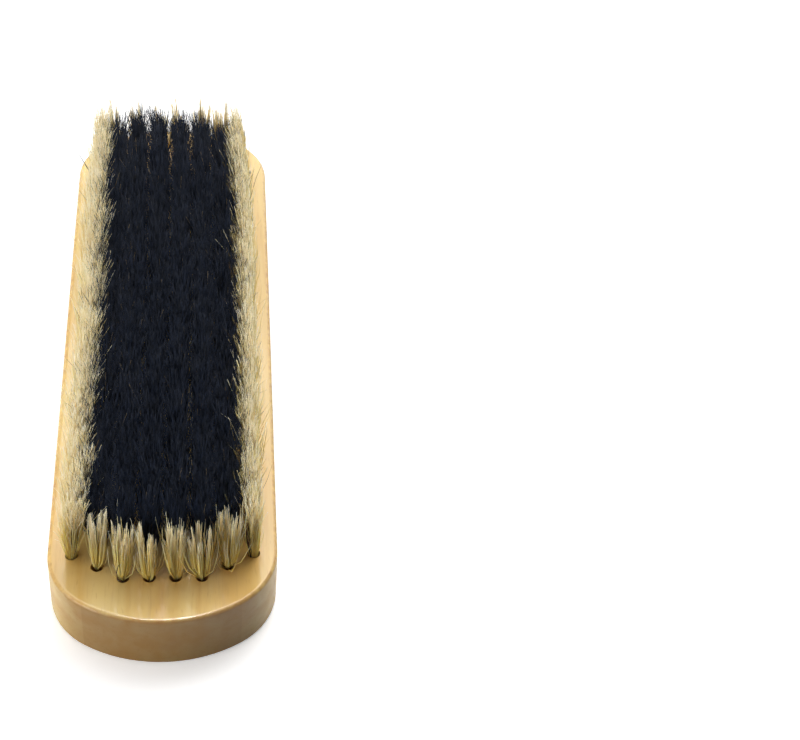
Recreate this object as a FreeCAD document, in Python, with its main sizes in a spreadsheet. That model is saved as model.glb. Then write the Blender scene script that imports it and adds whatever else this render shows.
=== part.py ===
"""Shoe shine brush: a wooden block with hair tufts folded over wire anchors in drilled holes.

The block lies on its flat back at z = 0 with its length along Y, and the hair points up.
All sizes are in millimetres.
"""
import FreeCAD, Part
import math
import os
import Sketcher

# Driving dimensions
SIZES = [
    # the wooden block
    ("block_length", 170.0),
    ("block_width", 50.0),
    ("block_thickness", 15.0),
    ("end_crown", 12.0),
    ("corner_radius", 17.0),
    ("back_edge_round", 1.0),
    ("face_edge_round", 1.0),
    # the finger groove along each side
    ("groove_length", 88.0),
    ("groove_radius", 7.0),
    ("groove_depth", 2.0),
    # the drilled holes: border columns, second columns and inner columns
    ("hole_diameter", 2.8),
    ("hole_depth", 9.0),
    ("side_margin", 5.25),
    ("end_margin", 12.0),
    ("second_setback", 3.1),
    ("border_setback", 6.4),
    ("row_pitch", 6.7),
    # the hair tufts
    ("tuft_clearance", 0.1),
    ("bristle_length", 20.0),
    ("tip_gap", 0.4),
    ("border_lean", 0.6),
    # the flat wire anchors
    ("anchor_thickness", 0.4),
    ("anchor_height", 1.8),
    ("anchor_bite", 0.3),
    ("fold_height", 1.2),
]

# Sizes that follow from the driving ones, written as expressions
END_RADIUS = "((sizes.block_width / 2) ^ 2 + sizes.end_crown ^ 2) / (2 * sizes.end_crown)"
CORNER_ROUND = f"min(sizes.corner_radius; 0.9 * {END_RADIUS})"
COLUMN_GAPS = 7
COLUMN_PITCH = f"(sizes.block_width - 2 * sizes.side_margin) / {COLUMN_GAPS}"
HOLE_FLOOR = "(sizes.block_thickness - sizes.hole_depth)"
TUFT_DIAMETER = "(sizes.hole_diameter - 2 * sizes.tuft_clearance)"
ANCHOR_LENGTH = "(sizes.hole_diameter + 2 * sizes.anchor_bite)"
GROOVE_HALF_WIDTH = "sqrt(2 * sizes.groove_radius * sizes.groove_depth - sizes.groove_depth ^ 2)"

# Sizes that a circle or a rectangle is drawn with before it gets its own
START_WIDTH = 4.0
START_LENGTH = 6.0
LEVEL_TOLERANCE = 1e-6

doc = FreeCAD.newDocument("shoe_shine_brush")
sheet = doc.addObject("Spreadsheet::Sheet", "sizes")
for row, (alias, value) in enumerate(SIZES, start=1):
    sheet.set(f"A{row}", alias)
    sheet.set(f"B{row}", str(value))
    sheet.setAlias(f"B{row}", alias)
doc.recompute()


class Column:
    """One kind of hole column: how far out it lies and how its holes are spaced."""

    def __init__(self, steps_from_middle, setback):
        self.offset = f"{steps_from_middle} * {COLUMN_PITCH}"
        self.end = f"(sizes.block_length / 2 - sizes.end_margin - {setback})"
        self.gaps = f"round(2 * {self.end} / sizes.row_pitch)"
        self.pitch = f"(2 * {self.end} / {self.gaps})"


BORDER = Column(3.5, "sizes.border_setback")
SECOND = Column(2.5, "sizes.second_setback")
THIRD = Column(1.5, "0")
FOURTH = Column(0.5, "0")


def new_body(label, x="0", y="0", z="0"):
    """A body whose own origin is placed by three expressions."""
    body = doc.addObject("PartDesign::Body", label)
    body.Label = label
    for axis, expression in zip("xyz", (x, y, z)):
        body.setExpression(f"Placement.Base.{axis}", expression)
    return body


def origin_part(body, role):
    """One of the body's own origin planes or axes."""
    return next(item for item in body.Origin.OriginFeatures if item.Role == role)


def new_sketch(body, name, x="0", y="0", z="0"):
    """A sketch on the body's XY plane, with its own origin moved by three expressions."""
    sketch = body.newObject("Sketcher::SketchObject", name)
    sketch.AttachmentSupport = [(origin_part(body, "XY_Plane"), "")]
    sketch.MapMode = "FlatFace"
    for axis, expression in zip("xyz", (x, y, z)):
        sketch.setExpression(f"AttachmentOffset.Base.{axis}", expression)
    return sketch


def name_and_bind(sketch, index, name, expression):
    """Gives a constraint its name and its size."""
    sketch.renameConstraint(index, name)
    sketch.setExpression(f"Constraints.{name}", expression)


def draw_circle(sketch, diameter):
    """A circle about the sketch's origin."""
    start = Part.Circle(FreeCAD.Vector(), FreeCAD.Vector(0, 0, 1), START_WIDTH / 2)
    circle = sketch.addGeometry(start, False)
    sketch.addConstraint(Sketcher.Constraint("Coincident", circle, 3, -1, 1))
    index = sketch.addConstraint(Sketcher.Constraint("Diameter", circle, START_WIDTH))
    name_and_bind(sketch, index, "diameter", diameter)


def draw_rectangle(sketch, name, width, length):
    """A rectangle centred on the sketch's origin, width along X and length along Y."""
    corners = [
        FreeCAD.Vector(x * START_WIDTH / 2, y * START_LENGTH / 2, 0)
        for x, y in ((-1, -1), (1, -1), (1, 1), (-1, 1))
    ]
    sides = [
        sketch.addGeometry(Part.LineSegment(corners[i], corners[(i + 1) % 4]), False)
        for i in range(4)
    ]
    for i in range(4):
        sketch.addConstraint(Sketcher.Constraint("Coincident", sides[i], 2, sides[(i + 1) % 4], 1))
    for i, direction in enumerate(("Horizontal", "Vertical", "Horizontal", "Vertical")):
        sketch.addConstraint(Sketcher.Constraint(direction, sides[i]))
    sketch.addConstraint(Sketcher.Constraint("Symmetric", sides[0], 1, sides[1], 2, -1, 1))
    index = sketch.addConstraint(Sketcher.Constraint("Distance", sides[0], START_WIDTH))
    name_and_bind(sketch, index, f"{name}_width", width)
    index = sketch.addConstraint(Sketcher.Constraint("Distance", sides[1], START_LENGTH))
    name_and_bind(sketch, index, f"{name}_length", length)


def add_feature(body, kind, name, profile, **lengths):
    """A sketch-based feature with its sizes bound to expressions."""
    feature = body.newObject(f"PartDesign::{kind}", name)
    feature.Profile = profile
    for prop, expression in lengths.items():
        feature.setExpression(prop, expression)
    return feature


def repeat(body, name, originals, runs):
    """Copies features along one or two axes; a run is an axis, a length and a number of gaps."""
    pattern = body.newObject("PartDesign::LinearPattern", name)
    pattern.Originals = originals
    for suffix, (axis, length, gaps) in zip(("", "2"), runs):
        setattr(pattern, f"Direction{suffix}", (origin_part(body, axis), [""]))
        pattern.setExpression(f"Length{suffix}", length)
        pattern.setExpression(f"Occurrences{suffix}", f"{gaps} + 1")
    body.Tip = pattern
    return pattern


# The wooden block


def draw_plan(sketch):
    """Two straight sides joined by two crowned ends."""
    half_width = sheet.block_width / 2
    side_end = sheet.block_length / 2 - sheet.end_crown
    radius = (half_width ** 2 + sheet.end_crown ** 2) / (2 * sheet.end_crown)
    centre = sheet.block_length / 2 - radius
    half_turn = math.asin(half_width / radius)
    right = sketch.addGeometry(Part.LineSegment(
        FreeCAD.Vector(half_width, -side_end, 0), FreeCAD.Vector(half_width, side_end, 0)), False)
    left = sketch.addGeometry(Part.LineSegment(
        FreeCAD.Vector(-half_width, side_end, 0), FreeCAD.Vector(-half_width, -side_end, 0)), False)
    ends = []
    for facing, y in ((math.pi / 2, centre), (3 * math.pi / 2, -centre)):
        circle = Part.Circle(FreeCAD.Vector(0, y, 0), FreeCAD.Vector(0, 0, 1), radius)
        arc = Part.ArcOfCircle(circle, facing - half_turn, facing + half_turn)
        ends.append(sketch.addGeometry(arc, False))
    rear, front = ends
    for first, first_point, second, second_point in (
        (right, 2, rear, 1), (rear, 2, left, 1), (left, 2, front, 1), (front, 2, right, 1),
    ):
        sketch.addConstraint(
            Sketcher.Constraint("Coincident", first, first_point, second, second_point))
    sketch.addConstraint(Sketcher.Constraint("Vertical", right))
    sketch.addConstraint(Sketcher.Constraint("Vertical", left))
    sketch.addConstraint(Sketcher.Constraint("PointOnObject", rear, 3, -2))
    sketch.addConstraint(Sketcher.Constraint("Symmetric", rear, 3, front, 3, -1, 1))
    index = sketch.addConstraint(Sketcher.Constraint("DistanceX", -1, 1, right, 2, half_width))
    name_and_bind(sketch, index, "right_half", "sizes.block_width / 2")
    index = sketch.addConstraint(Sketcher.Constraint("DistanceX", left, 1, -1, 1, half_width))
    name_and_bind(sketch, index, "left_half", "sizes.block_width / 2")
    index = sketch.addConstraint(Sketcher.Constraint("DistanceY", front, 3, rear, 3, 2 * centre))
    name_and_bind(sketch, index, "centres", f"sizes.block_length - 2 * {END_RADIUS}")
    index = sketch.addConstraint(Sketcher.Constraint("Radius", rear, radius))
    name_and_bind(sketch, index, "end_round", END_RADIUS)
    sketch.addConstraint(Sketcher.Constraint("Equal", rear, front))


def draw_groove(sketch):
    """Half of a round-ended cutter, whose axis is the sketch's own vertical axis."""
    radius = sheet.groove_radius
    half_width = math.sqrt(2 * radius * sheet.groove_depth - sheet.groove_depth ** 2)
    centre = sheet.groove_length / 2 - half_width
    upper_circle = Part.Circle(FreeCAD.Vector(0, centre, 0), FreeCAD.Vector(0, 0, 1), radius)
    lower_circle = Part.Circle(FreeCAD.Vector(0, -centre, 0), FreeCAD.Vector(0, 0, 1), radius)
    upper = sketch.addGeometry(
        Part.ArcOfCircle(upper_circle, math.pi / 2, math.pi), False)
    floor = sketch.addGeometry(Part.LineSegment(
        FreeCAD.Vector(-radius, centre, 0), FreeCAD.Vector(-radius, -centre, 0)), False)
    lower = sketch.addGeometry(
        Part.ArcOfCircle(lower_circle, math.pi, 3 * math.pi / 2), False)
    axis = sketch.addGeometry(Part.LineSegment(
        FreeCAD.Vector(0, -centre - radius, 0), FreeCAD.Vector(0, centre + radius, 0)), False)
    sketch.addConstraint(Sketcher.Constraint("Tangent", upper, 2, floor, 1))
    sketch.addConstraint(Sketcher.Constraint("Tangent", floor, 2, lower, 1))
    sketch.addConstraint(Sketcher.Constraint("Coincident", lower, 2, axis, 1))
    sketch.addConstraint(Sketcher.Constraint("Coincident", axis, 2, upper, 1))
    sketch.addConstraint(Sketcher.Constraint("PointOnObject", axis, 1, -2))
    sketch.addConstraint(Sketcher.Constraint("PointOnObject", axis, 2, -2))
    sketch.addConstraint(Sketcher.Constraint("PointOnObject", upper, 3, -2))
    sketch.addConstraint(Sketcher.Constraint("Symmetric", upper, 3, lower, 3, -1, 1))
    index = sketch.addConstraint(Sketcher.Constraint("Radius", upper, radius))
    name_and_bind(sketch, index, "cutter", "sizes.groove_radius")
    index = sketch.addConstraint(Sketcher.Constraint("DistanceY", lower, 3, upper, 3, 2 * centre))
    name_and_bind(sketch, index, "travel", f"sizes.groove_length - 2 * {GROOVE_HALF_WIDTH}")


def edges_where(feature, test):
    """Names of the feature's edges whose vertex heights pass the test."""
    return [
        f"Edge{number}"
        for number, edge in enumerate(feature.Shape.Edges, start=1)
        if test([vertex.Z for vertex in edge.Vertexes])
    ]


def add_round(body, name, base, edges, radius):
    """A fillet on the named edges of the feature before it."""
    fillet = body.newObject("PartDesign::Fillet", name)
    fillet.Base = (base, edges)
    fillet.setExpression("Radius", radius)
    doc.recompute()
    return fillet


def drill_columns(body, tag, column, across):
    """Holes and anchor seats of the columns that lie alike on both sides of the middle."""
    place = {"x": f"-{column.offset}", "y": f"-{column.end}"}
    mouth = new_sketch(body, f"{tag}_hole_sketch", z="sizes.block_thickness", **place)
    draw_circle(mouth, "sizes.hole_diameter")
    hole = add_feature(body, "Pocket", f"{tag}_hole", mouth, Length="sizes.hole_depth")
    seat_sketch = new_sketch(
        body, f"{tag}_seat_sketch", z=f"{HOLE_FLOOR} + sizes.fold_height", **place)
    draw_rectangle(seat_sketch, "seat", ANCHOR_LENGTH, "sizes.anchor_thickness")
    seat = add_feature(body, "Pocket", f"{tag}_seat", seat_sketch, Length="sizes.anchor_height")
    seat.Reversed = True
    doc.recompute()
    lengthwise = ("Y_Axis", f"2 * {column.end}", column.gaps)
    repeat(body, f"{tag}_holes", [hole, seat], [lengthwise, across])
    doc.recompute()


def make_block():
    """The block: plan, rounds, finger grooves, then the holes."""
    body = new_body("handle_block")
    plan = new_sketch(body, "plan")
    draw_plan(plan)
    blank = add_feature(body, "Pad", "blank", plan, Length="sizes.block_thickness")
    doc.recompute()
    top = sheet.block_thickness
    uprights = edges_where(blank, lambda heights: max(heights) - min(heights) > LEVEL_TOLERANCE)
    corners = add_round(body, "corners", blank, uprights, CORNER_ROUND)
    low = edges_where(corners, lambda heights: max(heights) < LEVEL_TOLERANCE)
    back = add_round(body, "back_edges", corners, low, "sizes.back_edge_round")
    high = edges_where(back, lambda heights: min(heights) > top - LEVEL_TOLERANCE)
    add_round(body, "face_edges", back, high, "sizes.face_edge_round")

    cutter = new_sketch(
        body, "groove_sketch",
        x="sizes.block_width / 2 + sizes.groove_radius - sizes.groove_depth",
        z="sizes.block_thickness / 2")
    draw_groove(cutter)
    groove = add_feature(body, "Groove", "groove", cutter)
    groove.ReferenceAxis = (cutter, ["V_Axis"])
    groove.Angle = 360
    doc.recompute()
    both_grooves = body.newObject("PartDesign::Mirrored", "both_grooves")
    both_grooves.Originals = [groove]
    both_grooves.MirrorPlane = (origin_part(body, "YZ_Plane"), [""])
    body.Tip = both_grooves
    doc.recompute()

    drill_columns(body, "border", BORDER, ("X_Axis", f"2 * {BORDER.offset}", "1"))
    drill_columns(body, "second", SECOND, ("X_Axis", f"2 * {SECOND.offset}", "1"))
    drill_columns(body, "inner", THIRD, ("X_Axis", f"2 * {THIRD.offset}", "3"))
    return body


# The hair tufts and their anchors


def add_tufts(body, tag, column, run, x="0", y="0", lean_x="0", lean_y="0"):
    """Tufts from the floor of their holes to their tips, repeated along one run."""
    face = "sizes.hole_depth"
    fold = new_sketch(body, f"{tag}_fold", x=x, y=y)
    draw_circle(fold, TUFT_DIAMETER)
    mouth = new_sketch(body, f"{tag}_mouth", x=x, y=y, z=face)
    draw_circle(mouth, TUFT_DIAMETER)
    tips = new_sketch(
        body, f"{tag}_tips", x=f"{x} + {lean_x}", y=f"{y} + {lean_y}",
        z=f"{face} + sizes.bristle_length")
    draw_rectangle(
        tips, "tips", f"{COLUMN_PITCH} - sizes.tip_gap", f"{column.pitch} - sizes.tip_gap")
    hair = add_feature(body, "AdditiveLoft", f"{tag}_hair", fold)
    hair.Sections = [mouth, tips]
    hair.Ruled = True

    slot_sketch = new_sketch(body, f"{tag}_slot_sketch", x=x, y=y, z="sizes.fold_height")
    draw_rectangle(slot_sketch, "slot", ANCHOR_LENGTH, "sizes.anchor_thickness")
    slot = add_feature(body, "Pocket", f"{tag}_slot", slot_sketch, Length="sizes.anchor_height")
    slot.Reversed = True
    doc.recompute()
    repeat(body, f"{tag}_tufts", [hair, slot], [run])
    doc.recompute()


def add_anchors(body, tag, run, x="0", y="0"):
    """Flat wire anchors that lie across the block, repeated along one run."""
    sketch = new_sketch(body, f"{tag}_anchor_sketch", x=x, y=y, z="sizes.fold_height")
    draw_rectangle(sketch, "anchor", ANCHOR_LENGTH, "sizes.anchor_thickness")
    anchor = add_feature(body, "Pad", f"{tag}_anchor", sketch, Length="sizes.anchor_height")
    doc.recompute()
    repeat(body, f"{tag}_anchors", [anchor], [run])
    doc.recompute()


def make_row(kind, name, column, side, skip_ends, lean_x="0"):
    """One lengthwise row of tufts and its anchors; side is -1 on the left and 1 on the right."""
    gaps = f"({column.gaps} - {2 if skip_ends else 0})"
    start = f"-{column.end} + {column.pitch}" if skip_ends else f"-{column.end}"
    place = {"x": f"{side} * {column.offset}", "y": start, "z": HOLE_FLOOR}
    run = ("Y_Axis", f"{gaps} * {column.pitch}", gaps)
    tufts = new_body(f"{kind}_tufts_{name}", **place)
    add_tufts(tufts, f"{kind}_{name}", column, run, lean_x=f"{side} * {lean_x}")
    anchors = new_body(f"{kind}_anchors_{name}", **place)
    add_anchors(anchors, f"{kind}_{name}", run)
    return [tufts, anchors]


def make_end(name, end):
    """The pale tufts at one end of the inner and second columns; end is -1 in front, 1 behind."""
    place = {"y": f"{end} * {THIRD.end}", "z": HOLE_FLOOR}
    tufts = new_body(f"pale_tufts_{name}", **place)
    anchors = new_body(f"pale_anchors_{name}", **place)
    for tag, column, gaps in (("inner", THIRD, "3"), ("second", SECOND, "1")):
        run = ("X_Axis", f"2 * {column.offset}", gaps)
        x = f"-{column.offset}"
        y = f"{end} * ({column.end} - {THIRD.end})"
        add_tufts(
            tufts, f"{name}_{tag}", column, run, x=x, y=y, lean_y=f"{end} * sizes.border_lean")
        add_anchors(anchors, f"{name}_{tag}", run, x=x, y=y)
    return [tufts, anchors]


sub_parts = [make_block()]
sub_parts += make_row("pale", "left_row", BORDER, -1, False, "sizes.border_lean")
sub_parts += make_row("pale", "right_row", BORDER, 1, False, "sizes.border_lean")
sub_parts += make_end("front_end", -1)
sub_parts += make_end("rear_end", 1)
black_columns = [(SECOND, -1), (THIRD, -1), (FOURTH, -1)]
black_columns += [(column, 1) for column, side in reversed(black_columns)]
for number, (column, side) in enumerate(black_columns, start=1):
    sub_parts += make_row("black", f"row_{number}", column, side, True)

doc.recompute()
for item in doc.Objects:
    if "Invalid" in item.State or "Error" in item.State:
        raise RuntimeError(f"{item.Name} failed: {item.State}")
for part in sub_parts:
    if part.Shape.isNull() or not part.Shape.isValid():
        raise RuntimeError(f"{part.Label} has no valid shape")

os.makedirs("parts", exist_ok=True)
for part in sub_parts:
    part.Shape.exportStep(f"parts/{part.Label}.step")
    print(f"{part.Label}: {len(part.Shape.Solids)} solids, {part.Shape.Volume:.1f} mm3")
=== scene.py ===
# %% [markdown]
# # A shoe shine brush
# The brush lies on its back with the hair up: a lacquered wooden block, drilled with eight columns of
# holes, and a tuft of hair in every hole. The border tufts are undyed blond hair and the field inside them
# is dyed black. The CAD model already holds the block at its real size and a plain solid for each tuft.
# This lesson loads it, keeps the block, gives it a wood finish, and grows real hair in the holes.

# %% Load the CAD model
import math
from collections import namedtuple

import bmesh
import bpy
import numpy as np
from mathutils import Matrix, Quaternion, Vector


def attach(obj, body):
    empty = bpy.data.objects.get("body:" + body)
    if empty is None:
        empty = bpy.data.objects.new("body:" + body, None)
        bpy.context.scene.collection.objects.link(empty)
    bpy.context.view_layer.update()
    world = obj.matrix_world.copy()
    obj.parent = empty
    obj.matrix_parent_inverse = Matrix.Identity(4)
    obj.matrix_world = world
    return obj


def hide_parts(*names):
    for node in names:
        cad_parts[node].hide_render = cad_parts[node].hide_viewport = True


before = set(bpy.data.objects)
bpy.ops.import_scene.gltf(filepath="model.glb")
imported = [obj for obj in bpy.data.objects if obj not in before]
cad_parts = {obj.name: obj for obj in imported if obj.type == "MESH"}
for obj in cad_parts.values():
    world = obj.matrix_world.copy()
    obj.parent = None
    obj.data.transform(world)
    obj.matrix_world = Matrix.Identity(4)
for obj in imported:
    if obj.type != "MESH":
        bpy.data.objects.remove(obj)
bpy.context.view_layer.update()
MM = 0.001

# %% [markdown]
# ## Camera
# A picture taken with a long lens from about 45 degrees up. The camera could be turned with three angles,
# but a point to look at and a roll are easier to read and to adjust: the first sets the direction, the
# second tips the picture about it.

# %% Camera
CAMERA_PLACE = Vector((11.25, -310.84, 316.21)) * MM
CAMERA_AIM = Vector((58.6, 5.2, 0.0)) * MM
CAMERA_ROLL = math.radians(5.97)
SENSOR_WIDTH = 36.0
FOCAL_LENGTH = 78.75

camera = bpy.data.objects.new("camera", bpy.data.cameras.new("camera"))
camera.data.sensor_width = SENSOR_WIDTH
camera.data.lens = FOCAL_LENGTH
camera.location = CAMERA_PLACE
look = (CAMERA_AIM - CAMERA_PLACE).to_track_quat("-Z", "Y")
camera.rotation_mode = "QUATERNION"
camera.rotation_quaternion = look @ Quaternion((0, 0, 1), CAMERA_ROLL)
bpy.context.scene.collection.objects.link(camera)
bpy.context.scene.camera = camera
print("camera distance in mm:", round((CAMERA_AIM - CAMERA_PLACE).length / MM))

# %% [markdown]
# ## A helper for finishes
# Every finish below is a small graph of shader nodes. Writing each node and link out takes many lines, so
# this class holds one material and adds nodes to it: an input is given either a plain value or another
# node's output.


# %% Finish helper
def screen(red, green, blue):
    """A colour as read from a screen, 0 to 255, as the linear RGBA that shaders use."""
    share = np.array((red, green, blue)) / 255
    # The numbers are those of the sRGB standard.
    linear = np.where(share <= 0.04045, share / 12.92, ((share + 0.055) / 1.055) ** 2.4)
    return (*linear, 1.0)


class Finish:
    """A material being made: its Principled shader, and ways to add nodes in front of it."""

    def __init__(self, name):
        self.material = bpy.data.materials.new(name)
        self.material.use_nodes = True
        self.tree = self.material.node_tree
        self.shader = self.tree.nodes["Principled BSDF"]

    def feed(self, node, inputs):
        """Sets or links the named inputs of a node."""
        for socket, value in inputs.items():
            if isinstance(value, bpy.types.NodeSocket):
                self.tree.links.new(value, node.inputs[socket])
            else:
                node.inputs[socket].default_value = value

    def node(self, kind, inputs, **settings):
        """A new node of that kind, with its inputs fed and its settings made."""
        made = self.tree.nodes.new("ShaderNode" + kind)
        for setting, value in settings.items():
            setattr(made, setting, value)
        self.feed(made, inputs)
        return made

    def math(self, operation, first, second=0.0):
        """What one operation makes of one or two numbers."""
        return self.node("Math", {0: first, 1: second}, operation=operation).outputs[0]

    def ramp(self, factor, stops):
        """Colours along a factor: stops are (place, colour) pairs."""
        made = self.node("ValToRGB", {"Fac": factor})
        elements = made.color_ramp.elements
        while len(elements) < len(stops):
            elements.new(0.5)
        for element, (place, colour) in zip(elements, stops):
            element.position = place
            element.color = colour
        return made.outputs["Color"]

    def fade(self, factor, start, end, low=0.0, high=1.0):
        """A number that goes from low to high while the factor goes from start to end."""
        values = {"Value": factor, 1: start, 2: end, 3: low, 4: high}
        return self.node("MapRange", values).outputs["Result"]

    def mix(self, factor, first, second):
        """A colour that is the first at factor 0 and the second at factor 1."""
        values = {"Factor": factor, 6: first, 7: second}
        return self.node("Mix", values, data_type="RGBA").outputs[2]

    def noise(self, place, stretch, scale, detail=2.0, roughness=0.5, distortion=0.0):
        """Noise drawn out along the axes whose stretch is small."""
        moved = self.node("Mapping", {"Vector": place, "Scale": stretch})
        values = {
            "Vector": moved.outputs["Vector"],
            "Scale": scale,
            "Detail": detail,
            "Roughness": roughness,
            "Distortion": distortion,
        }
        return self.node("TexNoise", values).outputs["Fac"]


print("a screen's middle grey is, to a shader:", round(screen(128, 128, 128)[0], 2))

# %% [markdown]
# ## Wood colour
# The block is a pale, close-grained wood with its grain along the brush. A picture of wood could be laid on
# it, but noise in the block's own space needs no unwrapping and runs round the edges as real grain does.
# Noise that is stretched along Y gives the grain at three sizes: broad bands, fine lines and short pores.
# A few soft brown spots stand for small knots. The ends are darker: partly end grain, partly painted shade.

# %% Wood colour
WOOD_LIGHT = screen(235, 203, 124)
WOOD_DARK = screen(223, 178, 89)
WOOD_LINE = screen(196, 146, 72)
WOOD_KNOT = screen(166, 100, 58)
# End grain made darker still: the wood's own end grain plus painted shade on the end walls.
END_GRAIN_AND_SHADE = screen(140, 95, 51)
LENGTHWISE = (1.0, 0.06, 1.0)
PORE_STRETCH = (1.0, 0.12, 1.0)
KNOT_STRETCH = (1.0, 0.5, 1.0)
GRAIN_STRENGTH = 0.35
END_GRAIN_AND_SHADE_STRENGTH = 0.7

wood = Finish("lacquered_wood")
place = wood.node("TexCoord", {}).outputs["Object"]
facing = wood.node("TexCoord", {}).outputs["Normal"]
bands = wood.noise(place, LENGTHWISE, 160, detail=3, distortion=0.4)
colour = wood.ramp(bands, [(0.36, WOOD_DARK), (0.62, WOOD_LIGHT)])
lines = wood.noise(place, LENGTHWISE, 900, detail=4, roughness=0.65)
colour = wood.mix(wood.fade(lines, 0.54, 0.72, high=GRAIN_STRENGTH), colour, WOOD_LINE)
pores = wood.noise(place, PORE_STRETCH, 2400, detail=1)
colour = wood.mix(wood.fade(pores, 0.66, 0.76, high=GRAIN_STRENGTH), colour, WOOD_LINE)
spots = wood.noise(place, KNOT_STRETCH, 75, detail=2)
colour = wood.mix(wood.fade(spots, 0.68, 0.78, high=GRAIN_STRENGTH), colour, WOOD_KNOT)
# The end walls get this colour, which is partly end grain and partly painted shade.
end_face = wood.math("ABSOLUTE", wood.node("SeparateXYZ", {0: facing}).outputs["Y"])
colour = wood.mix(wood.fade(end_face, 0.45, 0.9, high=END_GRAIN_AND_SHADE_STRENGTH), colour, END_GRAIN_AND_SHADE)
print("nodes that make the wood's colour:", len(wood.tree.nodes))

# %% [markdown]
# ## Lacquer
# The wood lies under a clear gloss lacquer, which has worn to a warm, chipped line along the top edge. A
# second, clear shell could stand for it, but the shader's coat does the same without another mesh. The
# chips are noise that is kept to a narrow band just below the face, and a faint unevenness of the surface
# breaks up the glints.

# %% Lacquer
FACE_HEIGHT = 15.0
EDGE_RISE = (FACE_HEIGHT - 1.0, FACE_HEIGHT - 0.5)
EDGE_FALL = (FACE_HEIGHT - 0.01, FACE_HEIGHT - 0.07)
WOOD_EDGE = screen(176, 118, 56)
CHIP_STRENGTH = 0.6
CHIP_DEPTH = 1.5
EVEN = (1.0, 1.0, 1.0)
LACQUER_STRETCH = (1.0, 0.4, 1.0)

height = wood.node("SeparateXYZ", {0: place}).outputs["Z"]
rise, fall = (wood.fade(height, start * MM, end * MM) for start, end in (EDGE_RISE, EDGE_FALL))
chips = wood.noise(place, EVEN, 700, detail=4)
chips = wood.math("MULTIPLY", wood.math("MULTIPLY", rise, fall), wood.fade(chips, 0.3, 0.7))
colour = wood.mix(wood.math("MULTIPLY", chips, CHIP_STRENGTH), colour, WOOD_EDGE)
uneven = wood.noise(place, LACQUER_STRETCH, 260, detail=3)
surface = wood.math("ADD", uneven, wood.math("MULTIPLY", chips, CHIP_DEPTH))
bump = wood.node("Bump", {"Strength": 0.15, "Distance": 0.2 * MM, "Height": surface})
wood.feed(
    wood.shader,
    {
        "Base Color": colour,
        "Roughness": wood.fade(lines, 0.3, 0.7, 0.38, 0.5),
        "Normal": bump.outputs["Normal"],
        "Specular IOR Level": 0.25,
        "Coat Weight": 0.5,
        "Coat Roughness": 0.07,
        "Coat Normal": bump.outputs["Normal"],
    },
)
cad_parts["handle_block"].data.materials.clear()
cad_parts["handle_block"].data.materials.append(wood.material)
print("nodes with the lacquer:", len(wood.tree.nodes))

# %% [markdown]
# ## Anchor wire
# A folded tuft is driven into its hole over a short piece of flat wire, which bites into the wall of the
# hole. The wires could be modelled again with rounder edges, but they sit deep in the holes and hardly show,
# so the CAD solids stay, with a drawn-metal finish.

# %% Wire finish
WIRE_DARK = screen(150, 150, 148)
WIRE_LIGHT = screen(205, 205, 202)
DRAWN_STRETCH = (0.1, 1.0, 1.0)

wire = Finish("anchor_wire")
along = wire.node("TexCoord", {}).outputs["Object"]
drawn = wire.noise(along, DRAWN_STRETCH, 4000)
wire.feed(
    wire.shader,
    {
        "Base Color": wire.ramp(drawn, [(0.3, WIRE_DARK), (0.7, WIRE_LIGHT)]),
        "Metallic": 1.0,
        "Roughness": wire.fade(drawn, 0.3, 0.7, 0.25, 0.45),
    },
)
anchors = [node for name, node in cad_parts.items() if "_anchors_" in name]
for anchor in anchors:
    anchor.data.materials.clear()
    anchor.data.materials.append(wire.material)
print("anchor pieces:", len(anchors))

# %% [markdown]
# ## Hair colours
# Each hair has one shade of its own, and every hair changes from root to tip. Colours could be stored on
# each point of the mesh, but here both come from the hair's UV map: U says which shade and V how far along
# the hair a point is. All hairs of a shade then lie on the same strip of the map, so one small picture holds
# the colours of thousands of hairs when the finish is baked. The first strip is kept for odd hairs of
# another colour: brown ones among the blond, and a few light ones among the black.

# %% Hair finishes
SHADES = 48
HAIR_MAP = "OFBake"
HAIR_STOPS = (0.12, 0.5, 0.95)


def hair_finish(name, dark, light, odd, dry, **constants):
    """A hair finish: dark and light are colours at three stops from root to tip, dry is the roughness."""
    made = Finish(name)
    spot = made.node("UVMap", {}, uv_map=HAIR_MAP).outputs["UV"]
    split = made.node("SeparateXYZ", {0: spot})
    shade, length = split.outputs["X"], split.outputs["Y"]
    darker = made.ramp(length, list(zip(HAIR_STOPS, dark)))
    lighter = made.ramp(length, list(zip(HAIR_STOPS, light)))
    colour = made.mix(shade, darker, lighter)
    first_strip = made.math("LESS_THAN", shade, 1 / SHADES)
    made.feed(
        made.shader,
        {
            "Base Color": made.mix(first_strip, colour, odd),
            "Roughness": made.fade(length, 0.0, 1.0, *dry),
            **constants,
        },
    )
    return made.material


pale_hair = hair_finish(
    "pale_hair",
    dark=(screen(236, 184, 88), screen(236, 186, 90), screen(214, 177, 120)),
    light=(screen(255, 231, 134), screen(255, 239, 152), screen(255, 241, 200)),
    odd=screen(84, 62, 40),
    dry=(0.45, 0.65),
    **{
        "Specular IOR Level": 0.15,
        "Subsurface Weight": 0.9,
        "Subsurface Radius": (1.0, 0.85, 0.55),
        "Subsurface Scale": 0.5 * MM,
    },
)
black_hair = hair_finish(
    "black_hair",
    dark=(screen(6, 6, 8), screen(9, 12, 18), screen(11, 17, 27)),
    light=(screen(14, 16, 22), screen(17, 26, 42), screen(24, 37, 60)),
    odd=screen(140, 122, 92),
    dry=(0.4, 0.55),
    **{"Specular IOR Level": 0.16},
)
print("hair shades:", SHADES)

# %% [markdown]
# ## Where the tufts are
# The holes stand in eight columns along the brush. The outer columns are shorter, so that the rows follow
# the round ends. The first and last hole of each inner column hold blond tufts, which close the border round
# the black field. The places could be read back from the CAD solids, but the drilling plan is short: how far
# out each column is, how far it reaches from the middle, and how many holes it has.

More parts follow.
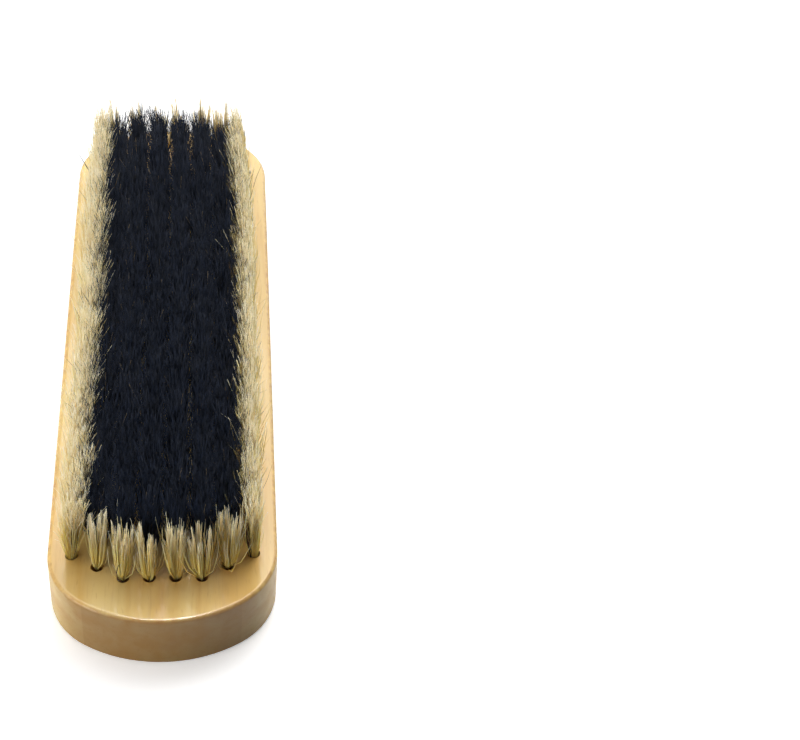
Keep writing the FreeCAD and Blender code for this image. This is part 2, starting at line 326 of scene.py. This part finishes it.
# %% Tuft places
FIELD_WIDTH = 39.5
COLUMN_GAPS = 7
COLUMN_PITCH = FIELD_WIDTH / COLUMN_GAPS
Column = namedtuple("Column", "offset reach holes")
HALF_FIELD = (Column(3.5, 66.6, 21), Column(2.5, 69.9, 22), Column(1.5, 73.0, 23), Column(0.5, 73.0, 23))
COLUMNS = sorted(column._replace(offset=sign * column.offset) for sign in (-1, 1) for column in HALF_FIELD)

places = {"pale_tufts_front_end": [], "pale_tufts_rear_end": []}
for number, column in enumerate(COLUMNS):
    x = column.offset * COLUMN_PITCH
    holes = [(x, y) for y in np.linspace(-column.reach, column.reach, column.holes)]
    if number == 0:
        places["pale_tufts_left_row"] = holes
    elif number == len(COLUMNS) - 1:
        places["pale_tufts_right_row"] = holes
    else:
        places[f"black_tufts_row_{number}"] = holes[1:-1]
        places["pale_tufts_front_end"].append(holes[0])
        places["pale_tufts_rear_end"].append(holes[-1])
print("tufts:", sum(len(holes) for holes in places.values()))

# %% [markdown]
# ## Kinds of tuft
# The same hair looks different in each part of the brush: brushed out along the sides, still in stiff
# locks at the ends, thick and even in the black field. Each kind could have a function of its own, but one
# function can grow them all when what differs is kept in a style. A style says how many hairs a tuft has,
# the radius of its root, how late the hairs bend outwards, how many locks it has, how firmly a lock gathers
# its hairs, how loosely they scatter, how far they fan across and along the brush, how high the locks reach
# as a share of the full height, how much shorter single hairs fall, the share of short hairs that fill the
# sides, how far a tuft sways and a tip flicks aside, the share of odd hairs, and how strongly the odd ones
# keep to the side towards the middle of the brush.

# %% Tuft styles
STYLE_FIELDS = "hairs root bend locks gather loose fan_x fan_y reach short fill sway flick odd mixed"
Style = namedtuple("Style", STYLE_FIELDS)
PALE_LEFT = Style(
    hairs=320,
    root=1.0,
    bend=1.05,
    locks=11,
    gather=0.4,
    loose=1.0,
    fan_x=3.0,
    fan_y=4.8,
    reach=(0.92, 1.0),
    short=0.1,
    fill=0.06,
    sway=0.3,
    flick=0.8,
    odd=0.03,
    mixed=2.0,
)
PALE_RIGHT = PALE_LEFT._replace(fan_x=1.9, loose=0.8, odd=0.08, mixed=3.0)
PALE_FRONT = Style(
    hairs=300,
    root=0.35,
    bend=0.5,
    locks=8,
    gather=0.95,
    loose=0.5,
    fan_x=2.7,
    fan_y=2.3,
    reach=(0.45, 1.0),
    short=0.25,
    fill=0.06,
    sway=0.6,
    flick=0.15,
    odd=0.015,
    mixed=0.0,
)
PALE_REAR = PALE_FRONT._replace(fan_x=2.2, reach=(0.5, 0.98))
BLACK = Style(
    hairs=320,
    root=1.1,
    bend=1.05,
    locks=9,
    gather=0.35,
    loose=0.5,
    fan_x=3.3,
    fan_y=4.8,
    reach=(0.92, 0.99),
    short=0.04,
    fill=0.14,
    sway=0.3,
    flick=1.0,
    odd=0.004,
    mixed=0.0,
)
BLACK_OUTER = BLACK._replace(loose=1.5, fan_x=4.3, short=0.06)
STYLES = {
    "pale_tufts_left_row": PALE_LEFT,
    "pale_tufts_right_row": PALE_RIGHT,
    "pale_tufts_front_end": PALE_FRONT,
    "pale_tufts_rear_end": PALE_REAR,
    "black_tufts_row_1": BLACK_OUTER,
    "black_tufts_row_6": BLACK_OUTER,
}
print("rows with a style of their own:", len(STYLES))

# %% [markdown]
# ## Laying out a tuft
# The hairs of a tuft leave the hole as a tight round bundle and fan out, mostly along the brush. They also
# stick together in locks, and the locks end at uneven heights, which is what makes the tips look spiky. A
# particle system could grow the hair, but a few seeded random draws say the same thing and give the same
# brush each time: a root in the hole, the lock it belongs to, and a tip that is drawn towards the tip of
# that lock. A shorter hair stops part of the way along its own line.

# %% Tuft layout
FAN_SPREAD = (0.85, 1.12)
LOCK_SCATTER = 0.6
GATHER_SPREAD = (0.5, 1.0)
STRAY_SHARE = 0.09
STRAY_REACH = 2.0
FILL_FAN = 1.5
FILL_LENGTH = (0.5, 0.95)
LENGTH_LIMITS = (0.35, 1.03)


def disc(random, count, radius):
    """Points spread evenly over a disc."""
    reach = radius * np.sqrt(random.random(count))
    turn = random.uniform(0, 2 * math.pi, count)
    return np.stack((reach * np.cos(turn), reach * np.sin(turn)), 1)


def lay_out_tuft(random, lean, style):
    """Seen from above, where each hair starts and ends; also its lock, and its length as a share."""
    fan = np.array((style.fan_x, style.fan_y)) / style.root * random.uniform(*FAN_SPREAD)
    lean = lean + random.normal(0, style.sway, 2)
    roots = disc(random, style.hairs, style.root)
    locks = disc(random, style.locks, style.root)
    lock = np.linalg.norm(roots[:, None] - locks[None], axis=2).argmin(1)
    reach = random.uniform(*style.reach, style.locks)
    spread = reach[:, None] ** style.bend
    lock_ends = locks * fan + random.normal(0, LOCK_SCATTER, (style.locks, 2))
    lock_tips = locks + (lock_ends - locks) * spread
    ends = roots * fan + random.normal(0, style.loose, (style.hairs, 2))
    tips = roots + (ends - roots) * spread[lock]
    gather = style.gather * random.uniform(*GATHER_SPREAD, (style.hairs, 1))
    tips += (lock_tips[lock] - tips) * gather
    strays = random.random(style.hairs) < STRAY_SHARE
    tips[strays] += random.normal(0, STRAY_REACH, (strays.sum(), 2))
    share_left = 1 - random.exponential(style.short, style.hairs)
    fills = random.random(style.hairs) < style.fill
    tips[fills] *= FILL_FAN
    share_left[fills] *= random.uniform(*FILL_LENGTH, fills.sum())
    share_left = np.clip(share_left, *LENGTH_LIMITS)
    tips += lean * spread[lock]
    tips = roots + (tips - roots) * share_left[:, None] ** style.bend
    return roots, tips, lock, reach[lock] * share_left


print("stray hairs in a border tuft, about:", round(PALE_LEFT.hairs * STRAY_SHARE))

# %% [markdown]
# ## Growing a tuft
# From the layout, each hair becomes a line of a few points that rises from inside the hole, bows a little
# and flicks aside at its tip. Real hair also varies in thickness and shade, so both are drawn here too, the
# shade partly for a whole lock and partly for the single hair. In the border rows the odd brown hairs are
# more common on the side towards the black field.

# %% Tuft maker
STRAND_POINTS = 4
ROOT_DEPTH = 0.8
TIP_HEIGHT = 35.0
BOW = 0.3
GIRTH_SPREAD = 0.35
MIDDLE_SHADE = 0.5
LOCK_SHADE_SPREAD = 0.1
HAIR_SHADE_SPREAD = 0.28
SHADE_LIMITS = (1.5 / SHADES, 0.999)
ODD_SHADE = 0.5 / SHADES


def raise_strands(random, hole, roots, tips, length, style):
    """The points along each hair, in mm."""
    bow = random.normal(0, BOW, (style.hairs, 2))
    base = FACE_HEIGHT - ROOT_DEPTH
    top = FACE_HEIGHT + (TIP_HEIGHT - FACE_HEIGHT) * length
    strands = np.empty((style.hairs, STRAND_POINTS, 3))
    for number, share in enumerate(np.linspace(0, 1, STRAND_POINTS)):
        offset = roots + (tips - roots) * share**style.bend
        strands[:, number, :2] = hole + offset + bow * math.sin(math.pi * share)
        strands[:, number, 2] = base + (top - base) * share
    strands[:, -1, :2] += random.normal(0, style.flick, (style.hairs, 2))
    return strands


def pick_shades(random, inward, lock, style):
    """The shade of each hair from 0 to 1; inward is 1 at the tuft's side towards the middle."""
    shades = MIDDLE_SHADE + random.normal(0, LOCK_SHADE_SPREAD, style.locks)[lock]
    shades = np.clip(shades + random.normal(0, HAIR_SHADE_SPREAD, style.hairs), *SHADE_LIMITS)
    shades[random.random(style.hairs) < style.odd * np.exp(style.mixed * inward)] = ODD_SHADE
    return shades


def grow_tuft(random, hole, tip_centre, style):
    """The points of each hair of one tuft in mm, its shade, and its girth, where 1 is usual."""
    roots, tips, lock, length = lay_out_tuft(random, tip_centre - hole, style)
    strands = raise_strands(random, hole, roots, tips, length, style)
    girths = random.lognormal(0, GIRTH_SPREAD, style.hairs)
    inward = -roots[:, 0] / style.root * np.sign(hole[0])
    return strands, pick_shades(random, inward, lock, style), girths


print("hair above the wood in mm:", TIP_HEIGHT - FACE_HEIGHT)

# %% [markdown]
# ## From strands to a mesh
# A hair is a thin tapered tube. A curve object makes that by itself: each strand is a spline, the bevel
# gives it a round section and each point's radius the taper. The curve is then made a mesh, its open ends
# are closed, and it gets the UV map that the finish reads. The bevel at its lowest resolution has four
# sides, which is plenty for a hair and keeps the whole brush light enough to use.

# %% Strand mesh
HAIR_RADIUS = 0.07
TAPER = (1.0, 0.95, 0.8, 0.35)
SIDES = 4
STRIP_MARGIN = 0.1
END_MARGIN = 0.02


def close_ends(mesh):
    """Puts a face on both open ends of every tube."""
    shape = bmesh.new()
    shape.from_mesh(mesh)
    rims = [edge for edge in shape.edges if edge.is_boundary]
    bmesh.ops.holes_fill(shape, edges=rims, sides=SIDES)
    bmesh.ops.recalc_face_normals(shape, faces=shape.faces)
    shape.to_mesh(mesh)
    shape.free()


def lay_hair_map(mesh, shades):
    """Puts each hair on the strip of its shade, with its root near V 0 and its tip near V 1."""
    corner_vertex = np.empty(len(mesh.loops), np.int32)
    mesh.loops.foreach_get("vertex_index", corner_vertex)
    starts = np.empty(len(mesh.polygons), np.int32)
    mesh.polygons.foreach_get("loop_start", starts)
    side = corner_vertex % SIDES
    ring = corner_vertex // SIDES % STRAND_POINTS
    strip = np.floor(shades[corner_vertex // (SIDES * STRAND_POINTS)] * SHADES)
    face = np.repeat(np.arange(len(starts)), np.diff(np.append(starts, len(corner_vertex))))
    wraps = np.logical_or.reduceat(side == SIDES - 1, starts)[face] & (side == 0)
    across = STRIP_MARGIN + (1 - 2 * STRIP_MARGIN) * np.where(wraps, SIDES, side) / SIDES
    along_hair = END_MARGIN + (1 - 2 * END_MARGIN) * ring / (STRAND_POINTS - 1)
    spots = np.stack(((strip + across) / SHADES, along_hair), 1)
    for layer in list(mesh.uv_layers):
        mesh.uv_layers.remove(layer)
    layer = mesh.uv_layers.new(name=HAIR_MAP)
    layer.uv.foreach_set("vector", spots.astype(np.float32).ravel())


def hair_piece(name, strands, shades, girths, material):
    """One mesh object with a tube along every strand."""
    curve = bpy.data.curves.new(name, "CURVE")
    curve.dimensions = "3D"
    curve.bevel_depth = HAIR_RADIUS * MM
    curve.bevel_resolution = 0
    for points, girth in zip(strands * MM, girths):
        spline = curve.splines.new("POLY")
        spline.points.add(STRAND_POINTS - 1)
        spline.points.foreach_set("co", np.pad(points, ((0, 0), (0, 1))).ravel())
        spline.points.foreach_set("radius", np.array(TAPER) * girth)
    bundle = bpy.data.objects.new(name + "_curve", curve)
    bpy.context.scene.collection.objects.link(bundle)
    shown = bundle.evaluated_get(bpy.context.evaluated_depsgraph_get())
    mesh = bpy.data.meshes.new_from_object(shown)
    mesh.name = name
    bpy.data.objects.remove(bundle)
    bpy.data.curves.remove(curve)
    close_ends(mesh)
    lay_hair_map(mesh, shades)
    mesh.materials.clear()
    mesh.materials.append(material)
    piece = bpy.data.objects.new(name, mesh)
    bpy.context.scene.collection.objects.link(piece)
    return piece


print("usual hair thickness in mm:", 2 * HAIR_RADIUS)

# %% [markdown]
# ## How the tufts lean
# In use the hair gets pushed about. The side rows are pressed inwards, and their tips stand in a line of
# their own on each side, a little wider apart at the front. The black tufts move a little to the right of
# their holes and close up by a few parts in a hundred. Towards the rear everything drifts to the left. The
# black and the end tufts lean to the rear there, the black ones get narrower and more uneven, so that gaps
# open between their columns, and the side rows get thinner and closer. Each tuft could be combed by hand,
# but a few rules that change along the brush do it for all.

# %% Tuft lean
TIP_LINE = {"pale_tufts_left_row": -17.6, "pale_tufts_right_row": 18.4}
FRONT_SPREAD = 0.05
BLACK_SQUEEZE = 0.97
BLACK_SHIFT = 0.3
REAR_DRIFT = 1.4
REAR_LEAN = 2.5
REAR_NARROW = 0.12
REAR_UNEVEN = 0.22
REAR_CLOSE = 0.05
REAR_THIN = 0.4
REAR_FROM = 46.0
REAR_ZONE = 20.0
FRONT_END = -max(column.reach for column in COLUMNS)


def lean_tuft(node, hole):
    """Where the middle of a tuft's tips stands, and its style at that place along the brush."""
    x, y = hole
    style = STYLES.get(node, BLACK)
    near_rear = np.clip((y - REAR_FROM) / REAR_ZONE, 0, 1)
    near_front = max(0.0, y / FRONT_END)
    drift = REAR_DRIFT * min(0.0, y / FRONT_END)
    if node in TIP_LINE:
        line = TIP_LINE[node] * (1 + FRONT_SPREAD * near_front - REAR_CLOSE * near_rear) + drift
        return np.array((line, y)), style._replace(fan_x=style.fan_x * (1 - REAR_THIN * near_rear))
    tip = np.array((x + drift, y + REAR_LEAN * near_rear))
    if node.startswith("black"):
        tip[0] += x * (BLACK_SQUEEZE - 1) + BLACK_SHIFT
        lowest, highest = style.reach
        style = style._replace(
            fan_x=style.fan_x * (1 - REAR_NARROW * near_rear),
            reach=(lowest - REAR_UNEVEN * near_rear, highest),
        )
    return tip, style


print("the rear rules start this far from the rear holes, in mm:", -FRONT_END - REAR_FROM)

# %% [markdown]
# ## All the tufts
# Each row of tufts in the CAD model is replaced by one hair piece at the same place, named for hair instead
# of tufts. One object for each tuft would be possible too, but a row is what a maker would fill in one go,
# and it keeps the list of pieces short. Each row has random numbers of its own, so that a change to one row
# leaves the others as they are.

# %% Grow every row
SEED = 28

for number, (node, holes) in enumerate(sorted(places.items())):
    random = np.random.default_rng((SEED, number))
    black = node.startswith("black")
    grown = [grow_tuft(random, np.array(hole), *lean_tuft(node, hole)) for hole in holes]
    strands, shades, girths = (np.concatenate(values) for values in zip(*grown))
    name = node.replace("tufts", "hair")
    piece = hair_piece(name, strands, shades, girths, black_hair if black else pale_hair)
    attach(piece, "root")
    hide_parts(node)
    print(piece.name, "hairs:", len(strands), "faces:", len(piece.data.polygons))

# %% [markdown]
# ## Floor
# The brush lies on white paper. A plain white floor would light the block's walls from below, so for light
# that bounces the paper is grey, as on a table whose edges are dark, and the walls stay in shade. The camera
# and the lacquer see it white, and a little glow that only the camera sees lifts it to the bright white of
# a lit backdrop while the shadow near the block stays.

# %% Floor
FLOOR_HALF = 3.0
FLOOR_SEEN = 0.97
FLOOR_BOUNCE = 0.25
FLOOR_LIFT = 0.38

floor_finish = Finish("paper_floor")
rays = floor_finish.node("LightPath", {})
by_camera = rays.outputs["Is Camera Ray"]
seen = floor_finish.math("MAXIMUM", by_camera, rays.outputs["Is Glossy Ray"])
seen = floor_finish.math("MAXIMUM", seen, rays.outputs["Is Transmission Ray"])
white = (FLOOR_SEEN, FLOOR_SEEN, FLOOR_SEEN, 1)
grey = (FLOOR_BOUNCE, FLOOR_BOUNCE, FLOOR_BOUNCE, 1)
floor_finish.feed(
    floor_finish.shader,
    {
        "Base Color": floor_finish.mix(seen, grey, white),
        "Roughness": 1.0,
        "Specular IOR Level": 0.0,
        "Emission Color": (1, 1, 1, 1),
        "Emission Strength": floor_finish.math("MULTIPLY", by_camera, FLOOR_LIFT),
    },
)
bpy.ops.mesh.primitive_plane_add(size=2 * FLOOR_HALF)
floor = bpy.context.object
floor.name = "floor"
floor.data.materials.append(floor_finish.material)
print("floor side in m:", 2 * FLOOR_HALF)

# %% [markdown]
# ## World
# The room round the brush is white to the camera and in the lacquer's reflections. As a source of light it
# would wash out every shadow at that level, so all other rays see it much darker.

# %% World
WORLD_LEVEL = 0.15

world = bpy.data.worlds.new("studio")
world.use_nodes = True
sky = world.node_tree
backdrop = sky.nodes["Background"]
backdrop.inputs["Color"].default_value = (1, 1, 1, 1)
paths = sky.nodes.new("ShaderNodeLightPath")
level = sky.nodes.new("ShaderNodeMapRange")
level.inputs["To Min"].default_value = WORLD_LEVEL
level.inputs["To Max"].default_value = 1.0
in_sight = sky.nodes.new("ShaderNodeMath")
in_sight.operation = "MAXIMUM"
sky.links.new(paths.outputs["Is Camera Ray"], in_sight.inputs[0])
sky.links.new(paths.outputs["Is Glossy Ray"], in_sight.inputs[1])
sky.links.new(in_sight.outputs[0], level.inputs["Value"])
sky.links.new(level.outputs["Result"], backdrop.inputs["Strength"])
bpy.context.scene.world = world
print("light from the world:", WORLD_LEVEL)

# %% [markdown]
# ## Lamps
# A product table has broad lamps all round. Area lamps would need a place and a size each; sun lamps with a
# wide angle give the same soft shadows and need only a direction. The overhead lamp leans to the rear, so
# that the hair throws its shade on the wood in front of it. Two more stand left and right behind the brush,
# and a low one at the front left lights the front tufts. The last one is a reflector card: it makes no
# light on matt surfaces, only the glint along the block's front edge and the sheen of the hair.

# %% Lamps
Lamp = namedtuple("Lamp", "name source level spread card")
LAMPS = (
    Lamp("overhead", (0.0, 0.5, 1.0), 1.3, 40, False),
    Lamp("left", (-1.0, 0.5, 0.75), 0.85, 60, False),
    Lamp("right", (0.5, 1.0, 0.75), 2.1, 60, False),
    Lamp("front", (-1.0, -0.55, 0.22), 2.0, 40, False),
    Lamp("reflector", (0.05, 0.0, 1.0), 6.0, 26, True),
)


def distant_lamp(lamp):
    """A far lamp that shines from its source direction towards the brush."""
    light = bpy.data.lights.new(lamp.name, "SUN")
    light.energy = lamp.level
    light.angle = math.radians(lamp.spread)
    holder = bpy.data.objects.new(lamp.name, light)
    holder.rotation_euler = Vector(lamp.source).to_track_quat("Z", "Y").to_euler()
    holder.visible_diffuse = not lamp.card
    bpy.context.scene.collection.objects.link(holder)


for lamp in LAMPS:
    distant_lamp(lamp)
falls = [lamp.level * Vector(lamp.source).normalized().z for lamp in LAMPS if not lamp.card]
print("light on the floor, where 1 shows a colour as written:", round(WORLD_LEVEL + sum(falls) / math.pi, 2))

# %% [markdown]
# ## Finish
# The view transform says how light becomes screen colour. The film-like ones soften bright colours, so the
# plain one is chosen, which shows a colour as it was written.

# %% Finish
bpy.context.scene.view_settings.view_transform = "Standard"
